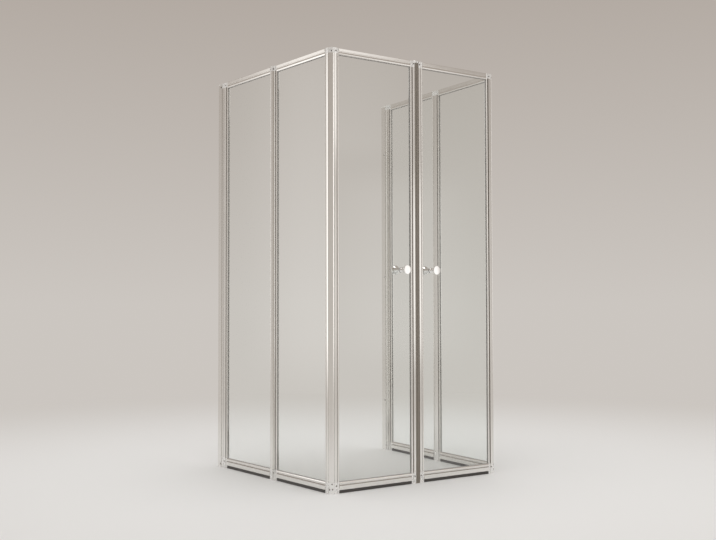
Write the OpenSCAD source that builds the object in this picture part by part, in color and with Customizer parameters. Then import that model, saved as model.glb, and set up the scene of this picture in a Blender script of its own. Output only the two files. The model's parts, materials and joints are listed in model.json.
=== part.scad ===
// Folding bath screen: six framed glass leaves that stand on a bath rim in a U.
// On each side a wall leaf, a corner leaf and a door hang from a wall profile,
// and the two doors meet in the middle of the front on magnetic strips.
// Every joint between leaves is the same hinge. A round nose along one stile
// fills a hollow along the next, so no gap opens that could pinch a finger, and
// plastic blocks at both ends carry the pins that the leaves turn on.
//
// X runs along the front, Y towards the wall and Z up from the bath rim. The
// origin lies on the rim, below the centre of the screen. The screen is drawn
// closed, as it stands when somebody showers.

/* [Screen] */
// Height of the screen above the bath rim
screen_h = 1400; // [800:10:1700]
// Length of a wall leaf from its wall hinge axis to its middle hinge axis
wall_leaf_l = 327; // [200:1:420]
// Length of a corner leaf from its middle hinge axis to its corner hinge axis
corner_leaf_l = 320; // [200:1:420]
// Length of a door from its corner hinge axis to the plane where the doors meet
door_l = 329; // [200:1:420]
// Angle by which each side opens out towards the wall
flare = 3; // [0:0.5:8]
// Height of the rails above the bath rim
rim_gap = 10; // [7:0.5:16]

/* [Frame profiles] */
// Thickness of the frame around each pane
frame_t = 14; // [13:0.5:18]
// Thickness of the walls of the hollow profiles
wall = 1.4; // [1:0.1:1.8]
// Face width of the top rails
top_rail_w = 21; // [20:0.5:30]
// Face width of the bottom rails
bottom_rail_w = 25; // [22:0.5:32]
// Face width of the stiles that carry a hinge nose
nose_stile_w = 17; // [15:0.5:24]
// Face width of the hollow stiles of the side leaves
side_cup_stile_w = 24; // [23:0.5:28]
// Face width of the hollow stiles of the doors
door_cup_stile_w = 18; // [18:0.5:28]
// Face width of the stiles where the doors meet
meeting_stile_w = 17; // [15:0.5:24]
// Width of the arched bead along the pane on every stile
bead_w = 6; // [5:0.25:7]
// Width of the arched bead along the pane on every rail
rail_bead_w = 9; // [6:0.5:9]
// Height of the arch of a bead
bead_rise = 1.2; // [0.8:0.1:1.4]
// Step from the face of a profile down to the crown of its bead
bead_step = 0.4; // [0.2:0.1:0.6]
// Width of the groove between the face of a profile and its bead
groove_w = 3; // [1.5:0.1:3.2]
// Depth of that groove
groove_d = 2.2; // [2.1:0.1:2.4]
// Radius of the rounded edges of the profiles
edge_r = 1.2; // [0.6:0.1:1.8]

/* [Glazing] */
// Thickness of the glass
glass_t = 3; // [3:0.5:5]
// Thickness of the gasket on each side of the glass and under its edge
gasket_t = 1; // [0.5:0.1:1.5]
// Depth that the glass reaches into the stiles
stile_bite = 2.5; // [1.5:0.1:3]
// Depth that the glass reaches into the rails
rail_bite = 8.5; // [4:0.5:10]
// Width of the gasket that shows past the profiles
gasket_show = 1.2; // [0.4:0.1:2]

/* [Hinges] */
// Distance from a frame face to the hinge axis outside it
axis_out = 1; // [0.5:0.1:2]
// Thickness left at the thin lip of a hollow stile
cup_lip = 1; // [0.6:0.1:1.4]
// Gap between a hinge nose and its hollow stile
nose_gap = 0.4; // [0.3:0.05:0.8]
// Gap between the end faces of two stiles that stand in line
stile_gap = 0.3; // [0.2:0.05:0.6]
// Radius of the round barrel that runs along every hinge axis
barrel_r = 5.5; // [4.5:0.1:6.5]
// Height of the pivot blocks at the top ends of the hinge stiles
top_block_h = 17; // [16:0.5:30]
// Height of the ear on a top block, which reaches over the block below it
top_ear_h = 8; // [6:0.5:9]
// Height of the ear on a bottom block, which reaches under the block above it
bottom_ear_h = 19; // [8:0.5:20]
// Vertical running gap between an ear and the block next to it
ear_gap = 0.3; // [0.1:0.05:0.6]
// Radius of the pivot pins
pin_r = 3; // [2:0.1:3.5]
// Radial running clearance of a pin in its bore
pin_clearance = 0.05; // [0.02:0.01:0.1]
// Length of the pivot pins
pin_l = 6.5; // [3:0.5:7]
// Depth that a bore goes on past the end of its pin
bore_extra = 0.5; // [0.3:0.1:1]

/* [Meeting edge] */
// Width of the magnetic strip on the edge of each door
strip_w = 8.5; // [6:0.5:12]
// Thickness of the magnetic strip
strip_t = 10; // [8:0.5:12]
// Thickness of the walls of the strip's plastic pocket
strip_wall = 1; // [0.8:0.1:1.4]
// Gap between the two closed doors
meeting_gap = 0.5; // [0.4:0.05:1.5]

/* [Small fits] */
// Gap around pieces that are pushed together, such as a magnet in its pocket
fit_gap = 0.1; // [0.05:0.05:0.2]

/* [Knobs] */
// Length of a knob from the glass to its end
knob_l = 33; // [20:0.5:34]
// Radius of the wide end of a knob
knob_r = 15; // [10:0.5:18]
// Radius of a knob at its waist
waist_r = 6.5; // [5:0.25:8]
// Radius of the foot of a knob on its washer
foot_r = 8.5; // [8:0.25:11]
// Thickness of the washers between knob and glass
washer_t = 0.8; // [0.5:0.1:1.5]
// Radius of the screw that joins the two knobs through the glass
stud_r = 4; // [3:0.25:5]
// Gap between that screw and its hole in the glass
stud_gap = 1; // [0.5:0.1:1.5]
// Depth of the screw's socket in the inner knob
socket_d = 8; // [4:0.5:12]
// Distance from the plane where the doors meet to the centre of a knob
knob_inset = 62; // [50:1:120]
// Height of the knobs above the bath rim
knob_z = 702; // [400:1:1000]

/* [Wall profiles] */
// Distance from the wall to the wall hinge axis
post_d = 38; // [34:1:60]
// Depth of the channel that is screwed to the wall
channel_d = 24; // [20:0.5:26]
// Thickness of the channel's side walls
channel_wall = 1.6; // [1.2:0.1:2.4]
// Thickness of the channel's back, which lies on the wall
channel_back = 2; // [1.5:0.1:3]
// Gap between the channel and the adjusting profile that slides in it
slide_gap = 0.2; // [0.1:0.05:0.4]
// Distance from the wall to the adjusting profile
adjust_room = 12; // [8:0.5:14]
// Thickness of the caps on the ends of the channel
end_cap_h = 3; // [2:0.5:5]
// Radius of the holes for the wall screws
wall_hole_r = 2.5; // [2:0.1:3]
// Distance between neighbouring wall screws
wall_hole_pitch = 600; // [300:10:640]
// Distance from the wall to the centre of the adjusting screws
adjust_screw_d = 19; // [17:0.25:20]
// Distance between neighbouring adjusting screws
adjust_screw_pitch = 500; // [250:10:600]
// Radius of the shank of an adjusting screw
screw_r = 1.9; // [1.5:0.1:2.2]
// Gap between that shank and its holes
screw_gap = 0.1; // [0.05:0.05:0.2]
// Length of the shank of an adjusting screw
screw_l = 5; // [3.5:0.5:6]
// Radius of the head of an adjusting screw
screw_head_r = 3.4; // [2.8:0.1:4]
// Height of the head of an adjusting screw
screw_head_h = 2; // [1.5:0.1:2.5]

/* [Drip seals] */
// Thickness of the drip seal's base under the rail
seal_base_t = 1.6; // [1:0.1:2.4]
// Thickness of the two lips of the drip seal
seal_lip_t = 1.2; // [0.8:0.1:1.6]
// Width of the drip seal's base
seal_w = 8; // [6:0.5:10]
// Distance that each lip leans outwards
seal_lean = 1.5; // [0:0.1:2]
// Gap between the lips and the bath rim
seal_lift = 0.5; // [0.3:0.1:1]
// Width of the seal's root in the slot of the rail
root_w = 3; // [2:0.25:4]
// Depth of the seal's root in the slot of the rail
root_d = 3; // [2:0.25:4]
// Gap between the ends of a drip seal and the blocks beside it
seal_end_gap = 0.4; // [0.2:0.1:1]

/* [Hidden] */
$fn = 64;
left = 0;
right = 1;
inner = 1;
outer = -1;
slack = 1;
glaze_t = glass_t + 2 * gasket_t;
glaze_v = (frame_t - glaze_t) / 2;
// Hinge nose: from the axis to just under the far face of the frame
axis_far = frame_t + axis_out;
cup_r = axis_far - cup_lip;
nose_r = cup_r - nose_gap;
// Frame edges of the panes, measured from each leaf's own first hinge axis
wall_leaf_a = side_cup_stile_w;
wall_leaf_b = wall_leaf_l - nose_stile_w;
corner_leaf_a = side_cup_stile_w;
corner_leaf_b = corner_leaf_l - nose_stile_w;
door_a = door_cup_stile_w;
door_edge = door_l - meeting_gap / 2;
door_outer = door_edge - strip_w;
door_b = door_outer - meeting_stile_w;
knob_u = door_l - knob_inset;
// Glass heights
bottom_sight_z = rim_gap + bottom_rail_w;
top_sight_z = screen_h - top_rail_w;
glass_z0 = bottom_sight_z - rail_bite;
glass_z1 = top_sight_z + rail_bite;
// Places of the hinge axes and of the wall
knob_out = knob_l - (frame_t - glass_t) / 2;
side_l = wall_leaf_l + corner_leaf_l;
depth = axis_far + side_l * cos(flare) + post_d;
front_y = (knob_out - depth) / 2;
wall_y = front_y + depth;
corner_axis = [-door_l, front_y + axis_far];
wall_axis = corner_axis + side_l * [-sin(flare), cos(flare)];
// Wall profile, measured from the wall hinge axis towards the wall
channel_w = frame_t + 2 * (slide_gap + channel_wall);
channel_v = -slide_gap - channel_wall;
adjust_l = post_d - adjust_room;
// Bottom blocks are as high as the upper edge of the bottom rails
bottom_block_h = bottom_sight_z;
stile_l = screen_h - bottom_block_h - top_block_h;

// ---- Places. Each leaf is drawn with its first hinge axis plane at X = 0, its
// length along X, its outer face at Y = 0 and its inner face at Y = frame_t.

module on_side(side) {
    mirror([side == right ? 1 : 0, 0, 0]) children();
}

module at_wall_axis(side) {
    on_side(side) translate([wall_axis[0], wall_axis[1], 0]) children();
}

// The wall profile stands square to the wall, whatever the flare
module place_post(side) {
    at_wall_axis(side) rotate(-90) translate([0, -axis_far, 0]) children();
}

module place_wall_leaf(side) {
    at_wall_axis(side) rotate(flare - 90) translate([0, -axis_far, 0]) children();
}

module place_corner_leaf(side) {
    place_wall_leaf(side) translate([wall_leaf_l, 0, 0]) children();
}

module place_door(side) {
    on_side(side) translate([corner_axis[0], front_y, 0]) children();
}

// Stands a pair of like pieces at the bottom and, mirrored, at the top. $h is
// the height of the pivot block at that end, and $ear that of its ear.
module both_ends() {
    let ($h = bottom_block_h, $ear = bottom_ear_h) children();
    translate([0, 0, screen_h]) mirror([0, 0, 1])
        let ($h = top_block_h, $ear = top_ear_h) children();
}

// Extrudes a section, drawn as width against frame thickness, along the leaf
module along_leaf(from, to) {
    translate([from, 0, 0]) rotate([90, 0, 90]) linear_extrude(to - from) children();
}

// ---- Profile sections, drawn in the plan of the leaf

// Points of a quarter circle that rounds an edge, from start angle a
function rounded_edge(x, y, r, a) = [for (i = [0:3]) [x + r * cos(a + 30 * i), y + r * sin(a + 30 * i)]];

// Solid profile section from its outer edge at 0 to the glass edge at w, with
// a groove and an arched bead along both faces. Its outer edge is square where
// a hinge or a strip joins it, and rounded on a free edge.
module face_section(w, from = 0, free_edge = false, bead = bead_w) {
    groove_to = w - bead;
    groove_from = groove_to - groove_w;
    foot = bead_step + bead_rise;
    polygon(concat(
        free_edge ? rounded_edge(from + edge_r, edge_r, edge_r, 180) : [[from, 0]],
        [[groove_from, 0], [groove_from, groove_d], [groove_to, groove_d]],
        [[groove_to, foot], [w, foot], [w, frame_t - foot], [groove_to, frame_t - foot]],
        [[groove_to, frame_t - groove_d], [groove_from, frame_t - groove_d], [groove_from, frame_t]],
        free_edge ? rounded_edge(from + edge_r, frame_t - edge_r, edge_r, 90) : [[from, frame_t]]
    ));
    bead_arch(groove_to, bead);
    translate([0, frame_t]) mirror([0, 1]) bead_arch(groove_to, bead);
}

// Arch on top of a bead: a slice off a circle, which goes on a little into it
module bead_arch(from, bead) {
    arch_r = (bead * bead / 4 + bead_rise * bead_rise) / (2 * bead_rise);
    intersection() {
        translate([from + bead / 2, bead_step + arch_r]) circle(arch_r);
        translate([from, 0]) square([bead, bead_step + bead_rise + slack]);
    }
}

// Hollow inside a profile, from one wall thickness off its outer edge to one
// off the groove, or off the floor of the glazing channel where that lies nearer
module chamber(w, bite, from = 0, bead = bead_w) {
    end = w - wall - max(bite + gasket_t, bead + groove_w);
    translate([from + wall, wall]) square([end - from - wall, frame_t - 2 * wall]);
}

module hollow_section(w) {
    difference() {
        face_section(w);
        chamber(w, stile_bite);
    }
}

module at_axis(face) {
    translate([0, face == inner ? frame_t + axis_out : -axis_out]) children();
}

// Round nose ahead of the axis plane. It stays within the frame's thickness in
// a straight hinge and swells into a half round at the corner.
module nose(face, r, half_round = false) {
    reach = half_round ? 2 * r + frame_t : 0;
    low = face == outer ? -reach : 0;
    high = frame_t + (face == inner ? reach : 0);
    intersection() {
        at_axis(face) circle(r);
        translate([-wall, low]) square([r + wall + slack, high - low]);
    }
}

module barrel(face) {
    at_axis(face) circle(barrel_r);
}

// Hollow nose, closed by flat walls where it ends inside the frame's thickness
module nose_shell(face, half_round = false) {
    room = half_round ? 2 * nose_r : -wall;
    difference() {
        nose(face, nose_r, half_round);
        intersection() {
            nose(face, nose_r - wall, half_round);
            translate([0, -room]) square([nose_r, frame_t + 2 * room]);
        }
    }
    barrel(face);
}

// Stile with the hollow that takes the nose: the leaf lies ahead of the plane
module cup_stile_section(face, w) {
    difference() {
        face_section(w, stile_gap);
        at_axis(face) circle(cup_r);
    }
}

module rail_section(w) {
    difference() {
        face_section(w, 0, true, rail_bead_w);
        chamber(w, rail_bite, root_d, rail_bead_w);
    }
}

// Turns a section so that its width runs up and its thickness runs inwards
module upright() {
    mirror([1, -1]) children();
}

// ---- Pieces that every leaf has. a and b are the frame's edges at the pane.

// Room that the glass and its gasket take inside the frame
module glazing_room(a, b) {
    depth_u = stile_bite + gasket_t;
    translate([a - depth_u, glaze_v, glass_z0 - gasket_t])
        cube([b - a + 2 * depth_u, glaze_t, glass_z1 - glass_z0 + 2 * gasket_t]);
}

module glass_pane(a, b) {
    color([0.8, 0.9, 0.88, 0.35])
        translate([a - stile_bite, glaze_v + gasket_t, glass_z0])
            cube([b - a + 2 * stile_bite, glass_t, glass_z1 - glass_z0]);
}

module gasket(a, b) {
    color("dimgray") difference() {
        glazing_room(a, b);
        glass_pane(a, b);
        translate([a + gasket_show, 0, bottom_sight_z + gasket_show])
            cube([b - a - 2 * gasket_show, frame_t, top_sight_z - bottom_sight_z - 2 * gasket_show]);
    }
}

// Top and bottom rail. The bottom one has the slot for the drip seal's root.
module rails(a, b) {
    color("silver") difference() {
        union() {
            translate([0, 0, rim_gap]) along_leaf(a, b) upright() rail_section(bottom_rail_w);
            translate([0, 0, screen_h]) mirror([0, 0, 1])
                along_leaf(a, b) upright() rail_section(top_rail_w);
        }
        glazing_room(a, b);
        translate([a - slack, (frame_t - root_w) / 2, rim_gap - slack])
            cube([b - a + 2 * slack, root_w, root_d + slack]);
    }
}

module cup_stile(face, a, b) {
    color("silver") difference() {
        translate([0, 0, bottom_block_h]) linear_extrude(stile_l) cup_stile_section(face, a);
        glazing_room(a, b);
    }
}

// Stile that carries a nose: the leaf lies behind the hinge's axis plane
module nose_stile(face, a, b, l, half_round = false) {
    color("silver") difference() {
        translate([l, 0, bottom_block_h]) {
            mirror([1, 0, 0]) linear_extrude(stile_l) hollow_section(nose_stile_w);
            linear_extrude(stile_l) nose_shell(face, half_round);
        }
        glazing_room(a, b);
    }
}

// Pin blocks at the hollow end of a leaf. Each has an ear that reaches to the
// axis, past the block of the next leaf, and carries the pin that turns in it.
module ear_blocks(face, a, b) {
    color("gainsboro") difference() {
        both_ends() {
            linear_extrude($h) cup_stile_section(face, a);
            linear_extrude($ear - ear_gap / 2) {
                face_section(a, stile_gap);
                intersection() {
                    at_axis(face) circle(nose_r);
                    translate([-nose_r, 0]) square([2 * nose_r, frame_t]);
                }
                barrel(face);
            }
            linear_extrude($ear + pin_l) at_axis(face) circle(pin_r);
        }
        glazing_room(a, b);
    }
}

// Bore block at a nose. The block behind the axis plane is hollowed where the
// ear turns, and above the ear it has a solid nose with the bore for the pin.
module bore_block(face, half_round = false) {
    difference() {
        children();
        translate([0, 0, -slack]) linear_extrude($ear + ear_gap / 2 + slack) at_axis(face) circle(cup_r);
        pin_bore(face);
    }
    difference() {
        translate([0, 0, $ear + ear_gap / 2]) linear_extrude($h - $ear - ear_gap / 2) {
            nose(face, nose_r, half_round);
            barrel(face);
        }
        pin_bore(face);
    }
}

module pin_bore(face) {
    translate([0, 0, $ear]) linear_extrude(pin_l + bore_extra)
        at_axis(face) circle(pin_r + pin_clearance);
}

module pivot_blocks(face, a, b, l, half_round = false) {
    color("gainsboro") difference() {
        both_ends() translate([l, 0, 0]) bore_block(face, half_round)
            mirror([1, 0, 0]) linear_extrude($h) face_section(nose_stile_w);
        glazing_room(a, b);
    }
}

// Drip seal: a root in the rail, a base and two lips that lean outwards. The
// outline is drawn for one half and repeated for the other.
module drip_seal(a, b) {
    base_z = rim_gap - seal_base_t;
    lip_v = seal_w / 2 + seal_lean;
    half = [
        [root_w / 2, rim_gap + root_d], [root_w / 2, rim_gap], [seal_w / 2, rim_gap],
        [seal_w / 2, base_z], [lip_v, seal_lift], [lip_v - seal_lip_t, seal_lift],
        [seal_w / 2 - seal_lip_t, base_z]
    ];
    color("slategray") translate([0, frame_t / 2, 0])
        along_leaf(a + seal_end_gap, b - seal_end_gap)
            polygon(concat(half, [for (i = [len(half) - 1:-1:0]) [-half[i][0], half[i][1]]]));
}

// ---- Pieces of the doors only

module door_glass(side) {
    place_door(side) color([0.8, 0.9, 0.88, 0.35]) difference() {
        glass_pane(door_a, door_b);
        translate([knob_u, 0, knob_z]) rotate([-90, 0, 0]) cylinder(h = frame_t, r = stud_r + stud_gap);
    }
}

module meeting_stile(side) {
    place_door(side) color("silver") difference() {
        translate([door_outer, 0, bottom_sight_z]) mirror([1, 0, 0])
            linear_extrude(top_sight_z - bottom_sight_z) hollow_section(meeting_stile_w);
        glazing_room(door_a, door_b);
    }
}

// Caps on the ends of the meeting stile, as high as the edges of the rails
module stile_caps(side) {
    place_door(side) color("gainsboro") difference() {
        translate([door_outer, 0, 0]) mirror([1, 0, 0]) {
            linear_extrude(bottom_sight_z) face_section(meeting_stile_w);
            translate([0, 0, top_sight_z]) linear_extrude(top_rail_w) face_section(meeting_stile_w);
        }
        glazing_room(door_a, door_b);
    }
}

// Plastic pocket with rounded edges and the magnet bar that it holds
module magnetic_strip(side) {
    v = (frame_t - strip_t) / 2;
    pocket_w = strip_w - 2 * strip_wall;
    pocket_t = strip_t - 2 * strip_wall;
    place_door(side) color("dimgray") translate([door_outer, v, 0]) {
        linear_extrude(screen_h) difference() {
            polygon(concat(
                [[0, 0]],
                rounded_edge(strip_w - edge_r, edge_r, edge_r, 270),
                rounded_edge(strip_w - edge_r, strip_t - edge_r, edge_r, 0),
                [[0, strip_t]]
            ));
            translate([strip_wall, strip_wall]) square([pocket_w, pocket_t]);
        }
        translate([strip_wall + fit_gap, strip_wall + fit_gap, 0])
            cube([pocket_w - 2 * fit_gap, pocket_t - 2 * fit_gap, screen_h]);
    }
}

// Waisted knob: the radius grows from the waist to the wide end on a curve
module knob() {
    waist_z = washer_t + 3;
    rise = knob_l - 3 - waist_z;
    flank = [for (i = [0:8]) [waist_r + (knob_r - waist_r) * pow(i / 8, 1.8), waist_z + rise * i / 8]];
    rotate_extrude() polygon(concat(
        [[0, washer_t], [foot_r, washer_t], [foot_r, washer_t + 1]],
        flank,
        [[knob_r, knob_l - 1], [knob_r - 1, knob_l], [0, knob_l]]
    ));
}

module knob_washer() {
    difference() {
        cylinder(h = washer_t - fit_gap, r = foot_r);
        translate([0, 0, -slack]) cylinder(h = washer_t + 2 * slack, r = stud_r + fit_gap);
    }
}

// The outer knob carries the screw, which draws the inner knob against the
// other face of the glass
module knobs(side) {
    stud_l = glass_t + washer_t + socket_d - slack;
    place_door(side) translate([knob_u, frame_t / 2, knob_z]) color("silver") {
        rotate([90, 0, 0]) translate([0, 0, glass_t / 2]) {
            knob();
            translate([0, 0, -stud_l]) cylinder(h = stud_l + washer_t + slack, r = stud_r);
            knob_washer();
        }
        rotate([-90, 0, 0]) translate([0, 0, glass_t / 2]) {
            difference() {
                knob();
                cylinder(h = washer_t + socket_d, r = stud_r + fit_gap);
            }
            knob_washer();
        }
    }
}

// ---- Pieces of the side leaves and doors, in their places

module wall_leaf_glass(side) {
    place_wall_leaf(side) glass_pane(wall_leaf_a, wall_leaf_b);
}

module wall_leaf_gasket(side) {
    place_wall_leaf(side) gasket(wall_leaf_a, wall_leaf_b);
}

module wall_leaf_rails(side) {
    place_wall_leaf(side) rails(wall_leaf_a, wall_leaf_b);
}

module wall_leaf_cup_stile(side) {
    place_wall_leaf(side) cup_stile(inner, wall_leaf_a, wall_leaf_b);
}

module wall_leaf_nose_stile(side) {
    place_wall_leaf(side) nose_stile(outer, wall_leaf_a, wall_leaf_b, wall_leaf_l);
}

module wall_leaf_drip_seal(side) {
    place_wall_leaf(side) drip_seal(wall_leaf_a, wall_leaf_b);
}

module wall_leaf_ear_blocks(side) {
    place_wall_leaf(side) ear_blocks(inner, wall_leaf_a, wall_leaf_b);
}

module wall_leaf_pivot_blocks(side) {
    place_wall_leaf(side) pivot_blocks(outer, wall_leaf_a, wall_leaf_b, wall_leaf_l);
}

module corner_leaf_glass(side) {
    place_corner_leaf(side) glass_pane(corner_leaf_a, corner_leaf_b);
}

module corner_leaf_gasket(side) {
    place_corner_leaf(side) gasket(corner_leaf_a, corner_leaf_b);
}

module corner_leaf_rails(side) {
    place_corner_leaf(side) rails(corner_leaf_a, corner_leaf_b);
}

module corner_leaf_cup_stile(side) {
    place_corner_leaf(side) cup_stile(outer, corner_leaf_a, corner_leaf_b);
}

module corner_leaf_nose_stile(side) {
    place_corner_leaf(side) nose_stile(inner, corner_leaf_a, corner_leaf_b, corner_leaf_l, true);
}

module corner_leaf_drip_seal(side) {
    place_corner_leaf(side) drip_seal(corner_leaf_a, corner_leaf_b);
}

module corner_leaf_ear_blocks(side) {
    place_corner_leaf(side) ear_blocks(outer, corner_leaf_a, corner_leaf_b);
}

module corner_leaf_pivot_blocks(side) {
    place_corner_leaf(side) pivot_blocks(inner, corner_leaf_a, corner_leaf_b, corner_leaf_l, true);
}

module door_gasket(side) {
    place_door(side) gasket(door_a, door_b);
}

module door_rails(side) {
    place_door(side) rails(door_a, door_b);
}

module door_cup_stile(side) {
    place_door(side) cup_stile(inner, door_a, door_b);
}

module door_drip_seal(side) {
    place_door(side) drip_seal(door_a, door_b);
}

module door_ear_blocks(side) {
    place_door(side) ear_blocks(inner, door_a, door_b);
}

// ---- Pieces on the wall

// Channel that is screwed to the wall through its back
module wall_profile(side) {
    back = -post_d;
    place_post(side) color("silver") difference() {
        translate([back, channel_v, end_cap_h])
            cube([channel_d, channel_w, screen_h - 2 * end_cap_h]);
        translate([back + channel_back, channel_v + channel_wall, 0])
            cube([channel_d, frame_t + 2 * slide_gap, screen_h]);
        for (i = [-1:1]) translate([back - slack, frame_t / 2, screen_h / 2 + i * wall_hole_pitch])
            rotate([0, 90, 0]) cylinder(h = channel_back + 2 * slack, r = wall_hole_r);
        adjust_screw_places() cylinder(h = 2 * frame_t, r = screw_r + screw_gap, center = true);
    }
}

// The screws go in from the inner side, where the bather can reach them
module adjust_screw_places() {
    for (i = [-1:1])
        translate([adjust_screw_d - post_d, channel_v + channel_w, screen_h / 2 + i * adjust_screw_pitch])
            rotate([-90, 0, 0]) children();
}

module adjusting_profile(side) {
    place_post(side) color("silver") difference() {
        translate([0, 0, bottom_block_h]) linear_extrude(stile_l) {
            difference() {
                translate([-adjust_l, 0]) square([adjust_l, frame_t]);
                translate([wall - adjust_l, wall]) square([adjust_l - 2 * wall, frame_t - 2 * wall]);
            }
            nose_shell(inner);
        }
        adjust_screw_places() cylinder(h = frame_t, r = screw_r + screw_gap, center = true);
    }
}

module wall_pivot_blocks(side) {
    place_post(side) color("gainsboro") difference() {
        both_ends() bore_block(inner) translate([-adjust_l, 0, 0]) cube([adjust_l, frame_t, $h]);
        both_ends() wall_profile_cap();
    }
}

module wall_profile_cap() {
    translate([-post_d, channel_v, 0]) cube([channel_d, channel_w, end_cap_h]);
}

module wall_profile_caps() {
    for (side = [left, right]) place_post(side) color("gainsboro") both_ends() wall_profile_cap();
}

module adjusting_screws() {
    for (side = [left, right]) place_post(side) color("gainsboro") adjust_screw_places() {
        cylinder(h = screw_head_h, r = screw_head_r);
        translate([0, 0, -screw_l]) cylinder(h = screw_l + slack / 2, r = screw_r);
    }
}

// ---- The assembly

wall_profile(left);  // left_wall_profile
adjusting_profile(left);  // left_adjusting_profile
wall_pivot_blocks(left);  // left_wall_pivot_blocks
wall_profile(right);  // right_wall_profile
adjusting_profile(right);  // right_adjusting_profile
wall_pivot_blocks(right);  // right_wall_pivot_blocks
wall_profile_caps();
adjusting_screws();
wall_leaf_glass(left);  // left_wall_leaf_glass
wall_leaf_gasket(left);  // left_wall_leaf_gasket
wall_leaf_rails(left);  // left_wall_leaf_rails
wall_leaf_cup_stile(left);  // left_wall_leaf_cup_stile
wall_leaf_nose_stile(left);  // left_wall_leaf_nose_stile
wall_leaf_drip_seal(left);  // left_wall_leaf_drip_seal
wall_leaf_ear_blocks(left);  // left_wall_leaf_ear_blocks
wall_leaf_pivot_blocks(left);  // left_wall_leaf_pivot_blocks
corner_leaf_glass(left);  // left_corner_leaf_glass
corner_leaf_gasket(left);  // left_corner_leaf_gasket
corner_leaf_rails(left);  // left_corner_leaf_rails
corner_leaf_cup_stile(left);  // left_corner_leaf_cup_stile
corner_leaf_nose_stile(left);  // left_corner_leaf_nose_stile
corner_leaf_drip_seal(left);  // left_corner_leaf_drip_seal
corner_leaf_ear_blocks(left);  // left_corner_leaf_ear_blocks
corner_leaf_pivot_blocks(left);  // left_corner_leaf_pivot_blocks
door_glass(left);  // left_door_glass
door_gasket(left);  // left_door_gasket
door_rails(left);  // left_door_rails
door_cup_stile(left);  // left_door_cup_stile
meeting_stile(left);  // left_door_meeting_stile
door_drip_seal(left);  // left_door_drip_seal
door_ear_blocks(left);  // left_door_ear_blocks
stile_caps(left);  // left_door_stile_caps
magnetic_strip(left);  // left_door_magnetic_strip
knobs(left);  // left_door_knobs
wall_leaf_glass(right);  // right_wall_leaf_glass
wall_leaf_gasket(right);  // right_wall_leaf_gasket
wall_leaf_rails(right);  // right_wall_leaf_rails
wall_leaf_cup_stile(right);  // right_wall_leaf_cup_stile
wall_leaf_nose_stile(right);  // right_wall_leaf_nose_stile
wall_leaf_drip_seal(right);  // right_wall_leaf_drip_seal
wall_leaf_ear_blocks(right);  // right_wall_leaf_ear_blocks
wall_leaf_pivot_blocks(right);  // right_wall_leaf_pivot_blocks
corner_leaf_glass(right);  // right_corner_leaf_glass
corner_leaf_gasket(right);  // right_corner_leaf_gasket
corner_leaf_rails(right);  // right_corner_leaf_rails
corner_leaf_cup_stile(right);  // right_corner_leaf_cup_stile
corner_leaf_nose_stile(right);  // right_corner_leaf_nose_stile
corner_leaf_drip_seal(right);  // right_corner_leaf_drip_seal
corner_leaf_ear_blocks(right);  // right_corner_leaf_ear_blocks
corner_leaf_pivot_blocks(right);  // right_corner_leaf_pivot_blocks
door_glass(right);  // right_door_glass
door_gasket(right);  // right_door_gasket
door_rails(right);  // right_door_rails
door_cup_stile(right);  // right_door_cup_stile
meeting_stile(right);  // right_door_meeting_stile
door_drip_seal(right);  // right_door_drip_seal
door_ear_blocks(right);  // right_door_ear_blocks
stile_caps(right);  // right_door_stile_caps
magnetic_strip(right);  // right_door_magnetic_strip
knobs(right);  // right_door_knobs
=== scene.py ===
# Looks of a folding bath screen: two halves of three framed glass leaves each,
# screwed to the wall behind a bath, with two doors that meet on magnetic strips.
# Everything is in metres. X runs along the front, Y towards the wall, Z up. Places
# are worked out for the left half, and the right half mirrors it.
import json
import math

import bmesh
import bpy
from mathutils import Matrix, Vector


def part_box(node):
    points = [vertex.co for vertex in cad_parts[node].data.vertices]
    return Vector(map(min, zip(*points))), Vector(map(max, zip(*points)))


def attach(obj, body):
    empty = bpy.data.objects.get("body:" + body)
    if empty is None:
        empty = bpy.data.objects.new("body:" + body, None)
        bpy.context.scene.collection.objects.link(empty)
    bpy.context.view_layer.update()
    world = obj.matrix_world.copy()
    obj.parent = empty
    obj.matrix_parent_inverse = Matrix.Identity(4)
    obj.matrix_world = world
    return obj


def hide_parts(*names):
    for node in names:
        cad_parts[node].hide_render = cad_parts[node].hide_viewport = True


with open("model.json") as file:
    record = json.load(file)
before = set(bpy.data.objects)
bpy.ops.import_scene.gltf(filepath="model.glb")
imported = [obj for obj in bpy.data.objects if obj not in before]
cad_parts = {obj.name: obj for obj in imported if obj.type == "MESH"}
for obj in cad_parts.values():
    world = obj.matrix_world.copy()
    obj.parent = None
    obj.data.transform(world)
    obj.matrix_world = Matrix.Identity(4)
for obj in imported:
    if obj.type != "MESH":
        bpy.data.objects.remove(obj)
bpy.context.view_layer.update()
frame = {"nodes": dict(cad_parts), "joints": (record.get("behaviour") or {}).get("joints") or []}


# ---- Aluminium profiles
# Stiles, rails and wall profiles are extruded aluminium, cut to length, brightened
# and anodised. The die leaves fine lines along each one, and the groove beside the
# bead that holds the glass is darkened with painted shade and some dust.

SIDES = ("left", "right")
LEAVES = ("wall_leaf", "corner_leaf", "door")


class Amount:
    """A shader socket that holds one number and takes part in sums."""

    def __init__(self, finish, socket):
        self.finish, self.socket = finish, socket

    def _with(self, operation, a, b):
        return self.finish.add("Math", {0: a, 1: b}, operation=operation).amount()

    def __add__(self, other):
        return self._with("ADD", self, other)

    def __sub__(self, other):
        return self._with("SUBTRACT", self, other)

    def __rsub__(self, other):
        return self._with("SUBTRACT", other, self)

    def __mul__(self, other):
        return self._with("MULTIPLY", self, other)

    def __abs__(self):
        return self._with("ABSOLUTE", self, 0)

    def larger(self, other):
        return self._with("MAXIMUM", self, other)

    __radd__ = __add__
    __rmul__ = __mul__


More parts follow.
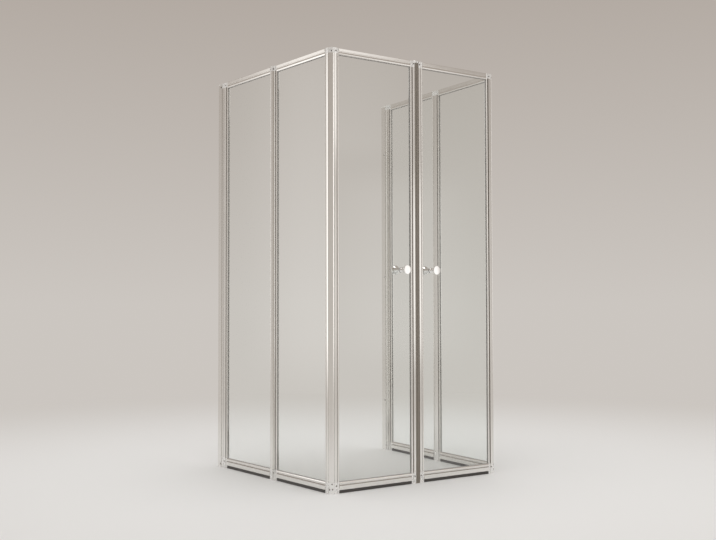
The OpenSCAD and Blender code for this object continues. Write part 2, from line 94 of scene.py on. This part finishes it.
class Added:
    """A node just added to a finish, with its outputs by name or number."""

    def __init__(self, finish, node):
        self.finish, self.node = finish, node

    def amount(self, output=0):
        return Amount(self.finish, self.node.outputs[output])


class Finish:
    """One material, built node by node."""

    def __init__(self, name, tree=None):
        if tree is None:
            self.material = bpy.data.materials.new(name)
            self.material.use_nodes = True
            tree = self.material.node_tree
            tree.nodes.clear()
        self.tree = tree

    def add(self, kind, inputs=(), **settings):
        node = self.tree.nodes.new("ShaderNode" + kind)
        for setting, value in settings.items():
            setattr(node, setting, value)
        for name, value in dict(inputs).items():
            if isinstance(value, Amount):
                self.tree.links.new(value.socket, node.inputs[name])
            else:
                node.inputs[name].default_value = value
        return Added(self, node)

    def place(self, stretch=(1, 1, 1)):
        """Object coordinates, scaled per axis so that a pattern runs long."""
        coordinates = self.add("TexCoord").amount("Object")
        return self.add("Mapping", {"Vector": coordinates, "Scale": stretch}).amount()

    def noise(self, vector, scale, detail=3, roughness=0.5):
        inputs = {"Vector": vector, "Scale": scale, "Detail": detail, "Roughness": roughness}
        return self.add("TexNoise", inputs).amount()

    def blend(self, amount, low, high):
        """A colour between two, each of which is three numbers or a socket."""
        ends = [c if isinstance(c, Amount) else (*c, 1) for c in (low, high)]
        # Sockets 6 and 7 of a Mix node take its colours, and output 2 gives their mix.
        return self.add("Mix", {0: amount, 6: ends[0], 7: ends[1]}, data_type="RGBA").amount(2)

    def spread(self, value, given, wanted, **settings):
        """The value, stretched from one range to another and held at its ends."""
        ends = {"From Min": given[0], "From Max": given[1], "To Min": wanted[0], "To Max": wanted[1]}
        return self.add("MapRange", {"Value": value, **ends}, **settings).amount()

    def bump(self, height, depth, strength=1.0):
        return self.add("Bump", {"Height": height, "Distance": depth, "Strength": strength}).amount()

    def surface(self, **inputs):
        named = {name.replace("_", " "): value for name, value in inputs.items()}
        return self.add("BsdfPrincipled", named).amount()

    def output(self, shader):
        self.add("OutputMaterial", {"Surface": shader})
        return self.material


def dress(material, *names):
    """Gives CAD nodes a finish."""
    for name in names:
        mesh = frame["nodes"][name].data
        mesh.materials.clear()
        mesh.materials.append(material)


FLARE = math.radians(3)  # by which the side leaves open out towards the wall


def up_the_side(out, back):
    """How far a place lies along a side leaf towards the wall; out is from the middle."""
    return out * math.sin(FLARE) + back * math.cos(FLARE)


GROOVE_HALF = 0.0015
# painted shade and dust darken a groove fully out to the first distance, and are gone by the second
SHADE_AND_DUST_FULL, SHADE_AND_DUST_GONE = 0.85 * GROOVE_HALF, 1.05 * GROOVE_HALF  # distances from a groove's middle
NOISE_RANGE, NOISE_PEAKS = (0.3, 0.7), (0.45, 0.75)  # nearly all of a noise, and its upper part
LINE_DEPTH = 0.000004
SMEARS = 9.0  # per metre
METAL_DULL, METAL_BRIGHT = (0.80, 0.785, 0.76), (0.87, 0.855, 0.83)
METAL_ROUGH = 0.12
LINES_ROUGHEN, SMEARS_ROUGHEN, SHADE_AND_DUST_ROUGHENS = 0.05, 0.05, 0.3  # what each adds at most


def aluminium(name, stretch, across=None, grooves=(), shade_and_dust_tone=(0.2, 0.175, 0.15)):
    """Metal with die lines along its stretch, and painted shade and dust in its grooves.

    Across says how the middles of the grooves are measured: out along the front for
    a door, up a side leaf, or in height. Each groove is its middle and how strongly
    painted shade and dust darken it, from 0 to 1.
    """
    finish = Finish(name)
    lines = finish.noise(finish.place(stretch), 1.0, detail=4, roughness=0.6)
    smears = finish.spread(finish.noise(finish.place(), SMEARS, detail=4), NOISE_PEAKS, (0.0, 1.0))
    tone = finish.spread(lines, NOISE_RANGE, (0.0, 1.0))
    metal = finish.blend(tone, METAL_DULL, METAL_BRIGHT)
    shade_and_dust = 0.0
    if grooves:
        spot = finish.add("SeparateXYZ", {0: finish.place()})
        x, y, z = abs(spot.amount("X")), spot.amount("Y"), spot.amount("Z")
        along = {"door": x, "side": up_the_side(x, y), "height": z}[across]
        for middle, amount in grooves:
            off = abs(along - middle)
            shade_and_dust = finish.spread(off, (SHADE_AND_DUST_FULL, SHADE_AND_DUST_GONE), (amount, 0.0)) + shade_and_dust
        # the grooves are darkened towards the given tone: painted shade, with some dust
        metal = finish.blend(shade_and_dust, metal, shade_and_dust_tone)
    return finish.output(finish.surface(
        Base_Color=metal,
        Metallic=1.0,
        Roughness=METAL_ROUGH + tone * LINES_ROUGHEN + smears * SMEARS_ROUGHEN + shade_and_dust * SHADE_AND_DUST_ROUGHENS,
        Normal=finish.bump(lines, LINE_DEPTH),
    ))


DIE_LINES = 900  # per metre across a profile
SIDE_RAIL_LINES = 100  # across a side rail, whose faces don't run square to X
ALONG = 1.2  # per metre along it
CUP_GROOVE = 0.0165  # from a hinge axis to the groove of a side leaf's hollow stile
NOSE_GROOVE = 0.0095  # from a hinge axis to the groove of a nose stile
DOOR_CUP_GROOVE = 0.0105  # from a hinge axis to the groove of a door's hollow stile
MEETING_GROOVE = 0.01825  # from the plane where the doors meet to their stiles' grooves
BOTTOM_GROOVE, TOP_GROOVE = 0.0245, 1.3895  # heights above the bath rim

axes = {joint["name"]: Vector((*joint["pos_m"][:2], 0.0)) for joint in frame["joints"]}
wall_axis, middle_axis, corner_axis = (axes[f"left_{name}_hinge"] for name in ("fold", "middle", "door"))
wall_at, middle_at, corner_at = (up_the_side(-axis.x, axis.y)
                                 for axis in (wall_axis, middle_axis, corner_axis))
up = (DIE_LINES, DIE_LINES, ALONG)
plain_post = aluminium("aluminium_post", up)
# each groove: its middle, and how strongly painted shade and dust darken it
side_stile = aluminium("aluminium_side_stile", up, "side", (
    (wall_at - CUP_GROOVE, 0.9),
    (middle_at + NOSE_GROOVE, 0.8),
    (middle_at - CUP_GROOVE, 0.8),
    (corner_at + NOSE_GROOVE, 0.9),
))
door_stile = aluminium("aluminium_door_stile", up, "door", (
    (-corner_axis.x - DOOR_CUP_GROOVE, 1.0),
    (MEETING_GROOVE, 0.8),
))
# the rails' grooves take a paler painted shade and dust, the top rails' only a little
rail_groove = ("height", ((BOTTOM_GROOVE, 1.0), (TOP_GROOVE, 0.15)), (0.42, 0.38, 0.35))
front_rail = aluminium("aluminium_front_rail", (ALONG, DIE_LINES, DIE_LINES), *rail_groove)
side_rail = aluminium("aluminium_side_rail", (SIDE_RAIL_LINES, ALONG, DIE_LINES), *rail_groove)

for side in SIDES:
    dress(plain_post, f"{side}_wall_profile", f"{side}_adjusting_profile")
    dress(door_stile, f"{side}_door_cup_stile", f"{side}_door_meeting_stile")
    dress(front_rail, f"{side}_door_rails")
    for leaf in LEAVES[:2]:
        dress(side_stile, f"{side}_{leaf}_cup_stile", f"{side}_{leaf}_nose_stile")
        dress(side_rail, f"{side}_{leaf}_rails")


# ---- Pivot blocks and caps
# Blocks at both ends of the stiles carry the hinge pins. They are moulded in plastic
# with a bright silver finish, as are the caps on the wall and meeting profiles.

SKIN, SKIN_DEPTH = 2600.0, 0.00001  # grains of a moulded skin per metre, and their depth
CLOUD = 40.0  # patches of tone per metre
MOULDED_ROUGH = (0.2, 0.32)


def moulded(name, pale, dull, metallic=0.0):
    finish = Finish(name)
    skin = finish.noise(finish.place(), SKIN, detail=2)
    cloud = finish.noise(finish.place(), CLOUD, detail=3)
    return finish.output(finish.surface(
        Base_Color=finish.blend(cloud, dull, pale),
        Metallic=metallic,
        Roughness=finish.spread(cloud, NOISE_RANGE, MOULDED_ROUGH),
        Normal=finish.bump(skin, SKIN_DEPTH, strength=0.6),
    ))


block_silver = moulded("block_silver", (0.86, 0.85, 0.83), (0.80, 0.785, 0.765), metallic=0.55)
dress(block_silver, "wall_profile_caps")
for side in SIDES:
    dress(block_silver, f"{side}_wall_pivot_blocks", f"{side}_door_stile_caps")
    for leaf in LEAVES:
        dress(block_silver, f"{side}_{leaf}_ear_blocks")
    for leaf in LEAVES[:2]:
        dress(block_silver, f"{side}_{leaf}_pivot_blocks")


# ---- Screws
# Small steel screws with a cross recess fix each block or cap in the end of its
# profile, those on the noses with heads bent to the curve; their steel is made dark,
# as painted shade for their recesses. Larger ones of the same kind, in plain steel,
# hold each adjusting profile in its wall profile.

HEAD_SIDES, SHANK_SIDES = 20, 12
HEAD_TOP = 0.72  # radius of the flat top of a head, as a share of the head's
CROSS_LONG, CROSS_WIDE = 1.15, 0.26  # bars of the cross, as shares of the head's radius
CROSS_LIFT = 0.85  # height of the bars' middle, as a share of the head's height


def screw_tree(name, steel):
    """Nodes that put a screw on every point, its head along the point's facing."""
    tree = bpy.data.node_groups.new(name, "GeometryNodeTree")
    tree.interface.new_socket("Geometry", in_out="INPUT", socket_type="NodeSocketGeometry")
    for size in ("Head radius", "Head height", "Shank radius", "Shank length"):
        tree.interface.new_socket(size, in_out="INPUT", socket_type="NodeSocketFloat")
    tree.interface.new_socket("Geometry", in_out="OUTPUT", socket_type="NodeSocketGeometry")

    def add(kind, inputs=(), **settings):
        node = tree.nodes.new(kind)
        for setting, value in settings.items():
            setattr(node, setting, value)
        for key, value in dict(inputs).items():
            for source in value if isinstance(value, list) else [value]:
                if isinstance(source, bpy.types.NodeSocket):
                    tree.links.new(source, node.inputs[key])
                else:
                    node.inputs[key].default_value = source
        return node

    def times(value, factor):
        return add("ShaderNodeMath", {0: value, 1: factor}, operation="MULTIPLY").outputs[0]

    def triple(x, y, z):
        return add("ShaderNodeCombineXYZ", {0: x, 1: y, 2: z}).outputs[0]

    given = add("NodeGroupInput")
    radius, height, shank_r, shank_l = (given.outputs[i] for i in range(1, 5))
    head = add("GeometryNodeMeshCone", {
        "Vertices": HEAD_SIDES, "Radius Top": times(radius, HEAD_TOP), "Radius Bottom": radius,
        "Depth": height,
    }).outputs["Mesh"]
    bars = []
    for long_side, short_side in ((CROSS_LONG, CROSS_WIDE), (CROSS_WIDE, CROSS_LONG)):
        size = triple(times(radius, long_side), times(radius, short_side), height)
        bar = add("GeometryNodeMeshCube", {"Size": size}).outputs["Mesh"]
        lift = triple(0.0, 0.0, times(height, CROSS_LIFT))
        bars.append(add("GeometryNodeTransform", {"Geometry": bar, "Translation": lift}).outputs[0])
    recessed = add("GeometryNodeMeshBoolean", {"Mesh 1": head, "Mesh 2": bars},
                   operation="DIFFERENCE", solver="EXACT").outputs[0]
    shank = add("GeometryNodeMeshCone", {
        "Vertices": SHANK_SIDES, "Radius Top": shank_r, "Radius Bottom": shank_r, "Depth": shank_l,
    }).outputs["Mesh"]
    sunk = add("GeometryNodeTransform", {
        "Geometry": shank, "Translation": triple(0.0, 0.0, times(shank_l, -1.0)),
    }).outputs[0]
    screw = add("GeometryNodeJoinGeometry", {"Geometry": [recessed, sunk]}).outputs[0]
    facing = add("GeometryNodeInputNamedAttribute", {"Name": "facing"}, data_type="FLOAT_VECTOR").outputs[0]
    turn = add("FunctionNodeAlignRotationToVector", {"Vector": facing}, axis="Z").outputs[0]
    placed = add("GeometryNodeInstanceOnPoints", {
        "Points": given.outputs[0], "Instance": screw, "Rotation": turn,
    }).outputs[0]
    real = add("GeometryNodeRealizeInstances", {"Geometry": placed}).outputs[0]
    made = add("GeometryNodeSetMaterial", {"Geometry": real, "Material": steel}).outputs[0]
    add("NodeGroupOutput", {0: made})
    return tree


def screws(name, tree, spots, sizes):
    """A plain mesh of screws, one at each (place, facing)."""
    points = bpy.data.meshes.new(name + "_points")
    points.from_pydata([place for place, _ in spots], [], [])
    facing = points.attributes.new("facing", "FLOAT_VECTOR", "POINT")
    for entry, (_, way) in zip(facing.data, spots):
        entry.vector = way
    piece = bpy.data.objects.new(name, points)
    bpy.context.scene.collection.objects.link(piece)
    modifier = piece.modifiers.new("screws", "NODES")
    modifier.node_group = tree
    for item in tree.interface.items_tree:
        if item.item_type == "SOCKET" and item.in_out == "INPUT" and item.name in sizes:
            modifier[item.identifier] = sizes[item.name]
    bpy.context.view_layer.update()
    grown = piece.evaluated_get(bpy.context.evaluated_depsgraph_get())
    piece.data = bpy.data.meshes.new_from_object(grown)
    piece.modifiers.clear()
    piece.data.name = name
    return piece


def bend_round(piece, spots, radius):
    """Bends flat screw heads round a nose, so that they pass the hollow next to it."""
    for vertex in piece.data.vertices:
        place, out = min(spots, key=lambda spot: (vertex.co - spot[0]).length)
        across = Vector((-out.y, out.x, 0))
        axis = place - radius * out
        off = vertex.co - axis
        angle = off.dot(across) / radius
        turned_out = out * math.cos(angle) + across * math.sin(angle)
        vertex.co = axis + off.dot(out) * turned_out + Vector((0, 0, off.z))


WEAR, WEAR_DEPTH = 900.0, 0.00001  # marks on a screw per metre, and their depth
STEEL_ROUGH = (0.22, 0.42)


def steel_finish(name, pale, dull):
    finish = Finish(name)
    wear = finish.noise(finish.place(), WEAR, detail=3)
    return finish.output(finish.surface(
        Base_Color=finish.blend(wear, dull, pale),
        Metallic=1.0,
        Roughness=finish.spread(wear, NOISE_RANGE, STEEL_ROUGH),
        Normal=finish.bump(wear, WEAR_DEPTH, strength=0.5),
    ))


BLOCK_SCREW = {"Head radius": 0.0026, "Head height": 0.0007, "Shank radius": 0.0012, "Shank length": 0.002}
PROFILE_SCREW = BLOCK_SCREW | {"Head radius": 0.0032}
NOSE_SCREW = BLOCK_SCREW | {"Head radius": 0.0027, "Head height": 0.0004}
ADJUSTING_SCREW = {
    "Head radius": 0.0034, "Head height": 0.002, "Shank radius": 0.0019, "Shank length": 0.005,
}
LEAF_FACE = 0.015  # from a wall or corner hinge axis to the outer face of a leaf
BLOCK_HEIGHTS = (0.024, 1.3905)
PROFILE_HEIGHTS = (0.011, 1.3875)
PROFILE_SCREW_BACK = 0.0187  # from the wall hinge axis towards the wall
SIDE_CUP_SCREW, DOOR_CUP_SCREW = 0.0075, 0.0065  # past the hinge axis at the start of a leaf
SIDE_NOSE_SCREW = 0.0105  # before the middle hinge axis
DOOR_CAP_SCREW = 0.01275  # from the plane where the doors meet
NOSE_R = 0.01345  # foot of the heads, 0.15 mm under the face of the nose
ON_NOSE = {  # direction from the corner hinge axis in degrees, and height
    "corner_leaf": ((236, 0.0305), (236, 1.3885)),
    "door": ((200, 0.0135), (243, 0.0145)),
}
ADJUSTING_FROM_WALL = 0.019
ADJUSTING_HEIGHTS = (0.2, 0.7, 1.2)

steel = steel_finish("screw_steel", (0.62, 0.61, 0.60), (0.48, 0.47, 0.46))
# dark heads: painted shade standing in for the shadow in the small screws' recesses
steel_painted_shade = steel_finish("block_screw_steel_painted_shade", (0.20, 0.175, 0.155), (0.12, 0.105, 0.095))
small_screw = screw_tree("small_screw", steel_painted_shade)
profile_low, profile_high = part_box("left_wall_profile")
square = Matrix.Translation(wall_axis) @ Matrix.Rotation(math.radians(-90), 4, "Z")
wall_leaf = square @ Matrix.Rotation(FLARE, 4, "Z")
wall_leaf_l = wall_at - middle_at
leaf_screws = {  # where a leaf starts, distances along it and out of it, heights, sizes
    "wall_frame": (square, (-PROFILE_SCREW_BACK,),
                   wall_axis.x - profile_low.x, PROFILE_HEIGHTS, PROFILE_SCREW),
    "wall_leaf": (wall_leaf, (SIDE_CUP_SCREW, wall_leaf_l - SIDE_NOSE_SCREW),
                  LEAF_FACE, BLOCK_HEIGHTS, BLOCK_SCREW),
    "corner_leaf": (wall_leaf @ Matrix.Translation((wall_leaf_l, 0, 0)), (SIDE_CUP_SCREW,),
                    LEAF_FACE, BLOCK_HEIGHTS, BLOCK_SCREW),
    "door": (Matrix.Translation(corner_axis), (DOOR_CUP_SCREW, -corner_axis.x - DOOR_CAP_SCREW),
             LEAF_FACE, BLOCK_HEIGHTS, BLOCK_SCREW),
}
for side in SIDES:
    mirror = Matrix.Scale(-1 if side == "right" else 1, 4, (1, 0, 0))
    for body, (start, along, far, heights, sizes) in leaf_screws.items():
        place = mirror @ start
        spots = [(place @ Vector((u, -far, z)), place.to_3x3() @ Vector((0, -1, 0)))
                 for u in along for z in heights]
        piece = screws(f"{side}_{body}_block_screws", small_screw, spots, sizes)
        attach(piece, body if body == "wall_frame" else f"{side}_{body}")
    for body, places in ON_NOSE.items():
        spots = []
        for degrees, z in places:
            out = Matrix.Rotation(math.radians(degrees), 3, "Z") @ Vector((1, 0, 0))
            spot = corner_axis + NOSE_R * out + Vector((0, 0, z))
            spots.append((mirror @ spot, mirror.to_3x3() @ out))
        piece = screws(f"{side}_{body}_nose_screws", small_screw, spots, NOSE_SCREW)
        bend_round(piece, spots, NOSE_R)
        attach(piece, f"{side}_{body}")

spots = [(Vector((inwards * profile_high.x, profile_high.y - ADJUSTING_FROM_WALL, z)), (inwards, 0, 0))
         for inwards in (1, -1) for z in ADJUSTING_HEIGHTS]
adjusting = screws("adjusting_screw_set", screw_tree("adjusting_screw", steel), spots, ADJUSTING_SCREW)
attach(adjusting, "wall_frame")
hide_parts("adjusting_screws")


# ---- Glass
# Each pane is 3 mm toughened float glass, clear with a slight green tint, and held
# all round in its frame. Lamps shine through it, so that it casts only the faint
# shadow that real glass does.

WAVES = 2.0  # slow changes of tint per metre
glass = Finish("clear_glass")
tint = glass.noise(glass.place(), WAVES, detail=1)
pane = glass.surface(
    Base_Color=glass.blend(tint, (0.955, 0.975, 0.965), (0.975, 0.985, 0.98)),
    Roughness=0.0,
    IOR=1.5,
    Transmission_Weight=1.0,
)
lamp_light = glass.add("LightPath").amount("Is Shadow Ray")
open_air = glass.add("BsdfTransparent", {"Color": (0.93, 0.95, 0.94, 1)}).amount()
clear_glass = glass.output(glass.add("MixShader", {0: lamp_light, 1: pane, 2: open_air}).amount())
for side in SIDES:
    for leaf in LEAVES:
        dress(clear_glass, f"{side}_{leaf}_glass")


# ---- Gaskets, drip seals and magnetic strips
# A soft grey gasket holds each pane in its frame, and a seal under each bottom rail
# keeps the water in; the seal is near black, as painted shade for the shadowed gap
# under the rail. The door edges hold magnets in strips of taupe plastic.

STREAK_DEPTH = 0.00002
ROUGH_SWING = 0.08


def soft_plastic(name, light, dark, along, roughness):
    finish = Finish(name)
    streaks = finish.noise(finish.place(along), 1.0, detail=3)
    return finish.output(finish.surface(
        Base_Color=finish.blend(streaks, dark, light),
        Roughness=finish.spread(streaks, NOISE_RANGE, (roughness - ROUGH_SWING, roughness + ROUGH_SWING)),
        Normal=finish.bump(streaks, STREAK_DEPTH, strength=0.5),
    ))


gasket_rubber = soft_plastic("gasket_rubber", (0.46, 0.44, 0.42), (0.38, 0.365, 0.35), (60, 60, 60), 0.45)
# near-black seal: painted shade for the shadowed gap under each bottom rail
seal_rubber_painted_shade = soft_plastic("seal_rubber_painted_shade", (0.055, 0.048, 0.042), (0.035, 0.03, 0.027), (25, 25, 400), 0.4)
strip_plastic = soft_plastic("strip_plastic", (0.23, 0.20, 0.165), (0.165, 0.14, 0.115), (900, 900, 4), 0.24)
for side in SIDES:
    dress(strip_plastic, f"{side}_door_magnetic_strip")
    for leaf in LEAVES:
        dress(gasket_rubber, f"{side}_{leaf}_gasket")
        dress(seal_rubber_painted_shade, f"{side}_{leaf}_drip_seal")


# ---- Strip caps
# A small rounded cap closes the top of each magnetic strip. It is moulded in pale
# plastic, and its thin collar is pushed over the end of the strip.

CREASE = math.radians(50)


def skinned(name, rings, material):
    """A closed mesh over rings of points, each of which may be a single pole."""
    shape = bmesh.new()
    rows = [[shape.verts.new(spot) for spot in ring] for ring in rings]
    steps = max(len(row) for row in rows)
    for near, far in zip(rows, rows[1:]):
        for i in range(steps):
            j = (i + 1) % steps
            corners = [near[i % len(near)], near[j % len(near)], far[j % len(far)], far[i % len(far)]]
            shape.faces.new(list(dict.fromkeys(corners)))
    bmesh.ops.recalc_face_normals(shape, faces=shape.faces)
    mesh = bpy.data.meshes.new(name)
    shape.to_mesh(mesh)
    shape.free()
    mesh.shade_smooth()
    mesh.set_sharp_from_angle(angle=CREASE)
    mesh.materials.append(material)
    piece = bpy.data.objects.new(name, mesh)
    bpy.context.scene.collection.objects.link(piece)
    return piece


def signed_root(value):
    """Makes a circle's outline squarer, as the strip under a cap is."""
    return math.copysign(abs(value) ** 0.5, value)


CAP_RISE = {"left": 0.0036, "right": 0.0014}  # the two caps aren't pushed down alike
CAP_COLLAR, CAP_PROUD = 0.005, 0.00015  # how far it reaches down the strip, and stands out from it
CAP_ROWS, CAP_STEPS = 6, 32
cap_plastic = moulded("cap_plastic", (0.86, 0.83, 0.80), (0.78, 0.75, 0.72))
for side in SIDES:
    low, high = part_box(f"{side}_door_magnetic_strip")
    middle = Vector(((low.x + high.x) / 2, (low.y + high.y) / 2, high.z))
    half_x, half_y = (high.x - low.x) / 2 + CAP_PROUD, (high.y - low.y) / 2 + CAP_PROUD
    levels = [(-CAP_COLLAR, 1.0)]
    for row in range(CAP_ROWS):
        lean = math.pi / 2 * row / CAP_ROWS
        levels.append((CAP_RISE[side] * math.sin(lean), math.cos(lean)))
    rings = [[middle - Vector((0, 0, CAP_COLLAR))]]
    for rise, reach in levels:
        ring = []
        for step in range(CAP_STEPS):
            angle = math.tau * step / CAP_STEPS
            across = half_x * signed_root(math.cos(angle)) * reach
            deep = half_y * signed_root(math.sin(angle)) * reach
            ring.append(middle + Vector((across, deep, rise)))
        rings.append(ring)
    rings.append([middle + Vector((0, 0, CAP_RISE[side]))])
    cap = skinned(f"{side}_door_strip_cap", rings, cap_plastic)
    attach(cap, f"{side}_door")


# ---- Knobs
# A knob is turned from brass with a narrow waist and a nearly flat end, and chromed.
# A clear washer keeps it off the glass; its screw draws both knobs tight.

TOUCH, TOUCH_DEPTH = 160.0, 0.00001  # marks of fingers per metre, and their depth
CHROME_ROUGH = (0.06, 0.12)


def chrome(name):
    finish = Finish(name)
    touch = finish.noise(finish.place(), TOUCH, detail=3)
    return finish.output(finish.surface(
        Base_Color=finish.blend(touch, (0.88, 0.875, 0.87), (0.94, 0.935, 0.93)),
        Metallic=1.0,
        Roughness=finish.spread(touch, NOISE_PEAKS, CHROME_ROUGH),
        Normal=finish.bump(touch, TOUCH_DEPTH, strength=0.3),
    ))


def turned(outline, centre, towards, steps=64):
    """Rings about the Y axis from (radius, distance) points."""
    rings = []
    for radius, distance in outline:
        angles = [math.tau * i / steps for i in range(steps if radius > 0 else 1)]
        rings.append([centre + Vector((radius * math.cos(a), towards * distance, radius * math.sin(a)))
                      for a in angles])
    return rings


def rounded(radius, distance, round_r, steps=5):
    """A quarter circle about (radius, distance), from its widest point to its end."""
    angles = [math.radians(90 * i / steps) for i in range(steps + 1)]
    return [(radius + round_r * math.cos(a), distance + round_r * math.sin(a)) for a in angles]


WASHER_T = 0.0008
WASHER_PROUD = 0.0004  # of the foot of the knob
FOOT_R = 0.0085
FOOT_ROUND = 0.0006
WAIST_R = 0.0065
WAIST_FROM_GLASS = 0.004
FLARE_END = 0.0026  # from the widest part of the flank to the rim
FLARE_POWER = 2.1  # how late the flank swings out
FLANK_STEPS = 14
END_ROUND = 0.0006
CROWN = 0.0003
CROWN_SHARES = (0.8, 0.6, 0.4, 0.2, 0)
knob_chrome = chrome("knob_chrome")
washer_nylon = moulded("washer_nylon", (0.75, 0.75, 0.74), (0.68, 0.68, 0.67))
for side in SIDES:
    low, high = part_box(f"{side}_door_knobs")
    glass_low, glass_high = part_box(f"{side}_door_glass")
    knob_r = (high.x - low.x) / 2
    knob_l = glass_low.y - low.y
    rim = knob_l - CROWN
    flank_l = rim - FLARE_END - WAIST_FROM_GLASS
    outline = [(0, WASHER_T), (FOOT_R, WASHER_T)]
    outline += rounded(FOOT_R - FOOT_ROUND, WASHER_T + 2 * FOOT_ROUND, FOOT_ROUND)
    outline += [(WAIST_R + (knob_r - WAIST_R) * t ** FLARE_POWER, WAIST_FROM_GLASS + flank_l * t)
                for t in (i / FLANK_STEPS for i in range(FLANK_STEPS + 1))]
    outline += rounded(knob_r - END_ROUND, rim - END_ROUND, END_ROUND)
    outline += [(knob_r * t, knob_l - CROWN * t * t) for t in CROWN_SHARES]
    washer_r = FOOT_R + WASHER_PROUD
    disc = [(0, 0.0), (washer_r, 0.0), (washer_r, WASHER_T), (0, WASHER_T)]
    for which, face_y, towards in (("outer", glass_low.y, -1), ("inner", glass_high.y, 1)):
        centre = Vector(((low.x + high.x) / 2, face_y, (low.z + high.z) / 2))
        knob = skinned(f"{side}_{which}_knob", turned(outline, centre, towards), knob_chrome)
        washer = skinned(f"{side}_{which}_knob_washer", turned(disc, centre, towards), washer_nylon)
        for piece in (knob, washer):
            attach(piece, f"{side}_door")
        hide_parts(f"{side}_door_knobs")


# ---- Floor, light and camera
# A pale floor at the level of the bath rim before a warm grey backdrop, with tall
# soft lamps around, and the camera at the front left, where the photograph was taken.

HORIZON = (0.60, 0.565, 0.53)
HIGH = (0.42, 0.37, 0.33)
HIGH_FROM = 0.35  # sine of the angle above the horizon at which the backdrop is darkest
FLOOR_REACH = 14.0
FADE = (0.5, 3.1)  # distances from the middle between which the floor turns into backdrop
AMBIENT = 0.85


def seen_ray(finish):
    """1 on rays that show the studio in the picture, in metal or through glass."""
    rays = finish.add("LightPath")
    camera_or_metal = rays.amount("Is Camera Ray").larger(rays.amount("Is Glossy Ray"))
    return camera_or_metal.larger(rays.amount("Is Transmission Ray"))


floor_mesh = bpy.data.meshes.new("floor")
corners = [(x * FLOOR_REACH, y * FLOOR_REACH, 0) for x, y in ((-1, -1), (1, -1), (1, 1), (-1, 1))]
floor_mesh.from_pydata(corners, [], [(0, 1, 2, 3)])
floor = bpy.data.objects.new("floor", floor_mesh)
bpy.context.scene.collection.objects.link(floor)
ground = Finish("floor_paint")
away = ground.add("VectorMath", {0: ground.place()}, operation="LENGTH").amount("Value")
fade = ground.spread(away, FADE, (0.0, 1.0), interpolation_type="SMOOTHSTEP")
paint = ground.surface(Base_Color=(0.80, 0.785, 0.765, 1), Roughness=0.6)
bright = ground.add("Emission", {"Color": (*HORIZON, 1), "Strength": 1.0}).amount()
look = ground.add("MixShader", {0: fade * seen_ray(ground), 1: paint, 2: bright}).amount()
floor_mesh.materials.append(ground.output(look))

world = bpy.data.worlds.new("studio")
world.use_nodes = True
world.node_tree.nodes.clear()
bpy.context.scene.world = world
sky = Finish("studio", world.node_tree)
direction = sky.add("SeparateXYZ", {0: sky.add("TexCoord").amount("Generated")})
height = sky.spread(direction.amount("Z"), (0.0, HIGH_FROM), (0.0, 1.0))
backdrop = sky.add("Background", {"Color": sky.blend(height, HORIZON, HIGH), "Strength": 1.0}).amount()
ambient = sky.add("Background", {"Color": (1, 1, 1, 1), "Strength": AMBIENT}).amount()
shown = sky.add("MixShader", {0: seen_ray(sky), 1: ambient, 2: backdrop}).amount()
sky.add("OutputWorld", {"Surface": shown})

LIT_MIDDLE = Vector((0, 0, 0.7))
LAMP_LIT = {"X": 0.1, "Y": 0.3}  # share of a lamp's size from its middle that is fully lit


def soft_lamp(name, place, size, watts):
    """An area lamp whose light fades towards its edges, as in a soft box."""
    light = bpy.data.lights.new(name, "AREA")
    light.shape = "RECTANGLE"
    light.size, light.size_y = size
    light.energy = watts
    light.use_nodes = True
    light.node_tree.nodes.clear()
    cloth = Finish(name, light.node_tree)
    spot = cloth.add("SeparateXYZ", {0: cloth.add("NewGeometry").amount("Parametric")})
    glow = 1.0
    for axis, full in LAMP_LIT.items():
        off = abs(spot.amount(axis) - 0.5)
        glow = glow * cloth.spread(off, (0.5, full), (0.0, 1.0), interpolation_type="SMOOTHSTEP")
    cloth.add("OutputLight", {"Surface": cloth.add("Emission", {"Color": glow}).amount()})
    lamp = bpy.data.objects.new(name, light)
    bpy.context.scene.collection.objects.link(lamp)
    lamp.location = place
    lamp.rotation_mode = "QUATERNION"
    lamp.rotation_quaternion = (Vector(place) - LIT_MIDDLE).to_track_quat("Z", "Y")
    lamp.visible_camera = False
    lamp.visible_transmission = False


soft_lamp("lamp_left", (-2.45, 2.15, 1.2), (1.5, 2.7), 11)
soft_lamp("lamp_front", (0.6, -3.4, 1.2), (1.3, 2.7), 14.5)
soft_lamp("lamp_card", (2.38, -3.53, 0.85), (1.3, 1.6), 3.8)
soft_lamp("lamp_high", (2.15, -4.3, 2.3), (2.0, 1.3), 5)
soft_lamp("lamp_right", (3.4, 0.4, 1.2), (1.3, 2.7), 10.5)
soft_lamp("lamp_above", (-0.4, -0.6, 3.6), (2.2, 2.2), 55)

EYE = Vector((-2.045, -2.946, 0.5925))
YAW, PITCH, ROLL = (math.radians(a) for a in (34.672, 1.912, -0.126))
FOCAL_PX = 998.6
FRAME_W = 716
camera = bpy.data.cameras.new("camera")
camera.sensor_width = 36.0
camera.lens = FOCAL_PX / FRAME_W * camera.sensor_width
camera.clip_end = 100.0
eye = bpy.data.objects.new("camera", camera)
bpy.context.scene.collection.objects.link(eye)
turn = Matrix.Rotation(-YAW, 4, "Z") @ Matrix.Rotation(math.radians(90) + PITCH, 4, "X")
eye.matrix_world = Matrix.Translation(EYE) @ turn @ Matrix.Rotation(ROLL, 4, "Z")
bpy.context.scene.camera = eye
bpy.context.scene.view_settings.view_transform = "Standard"
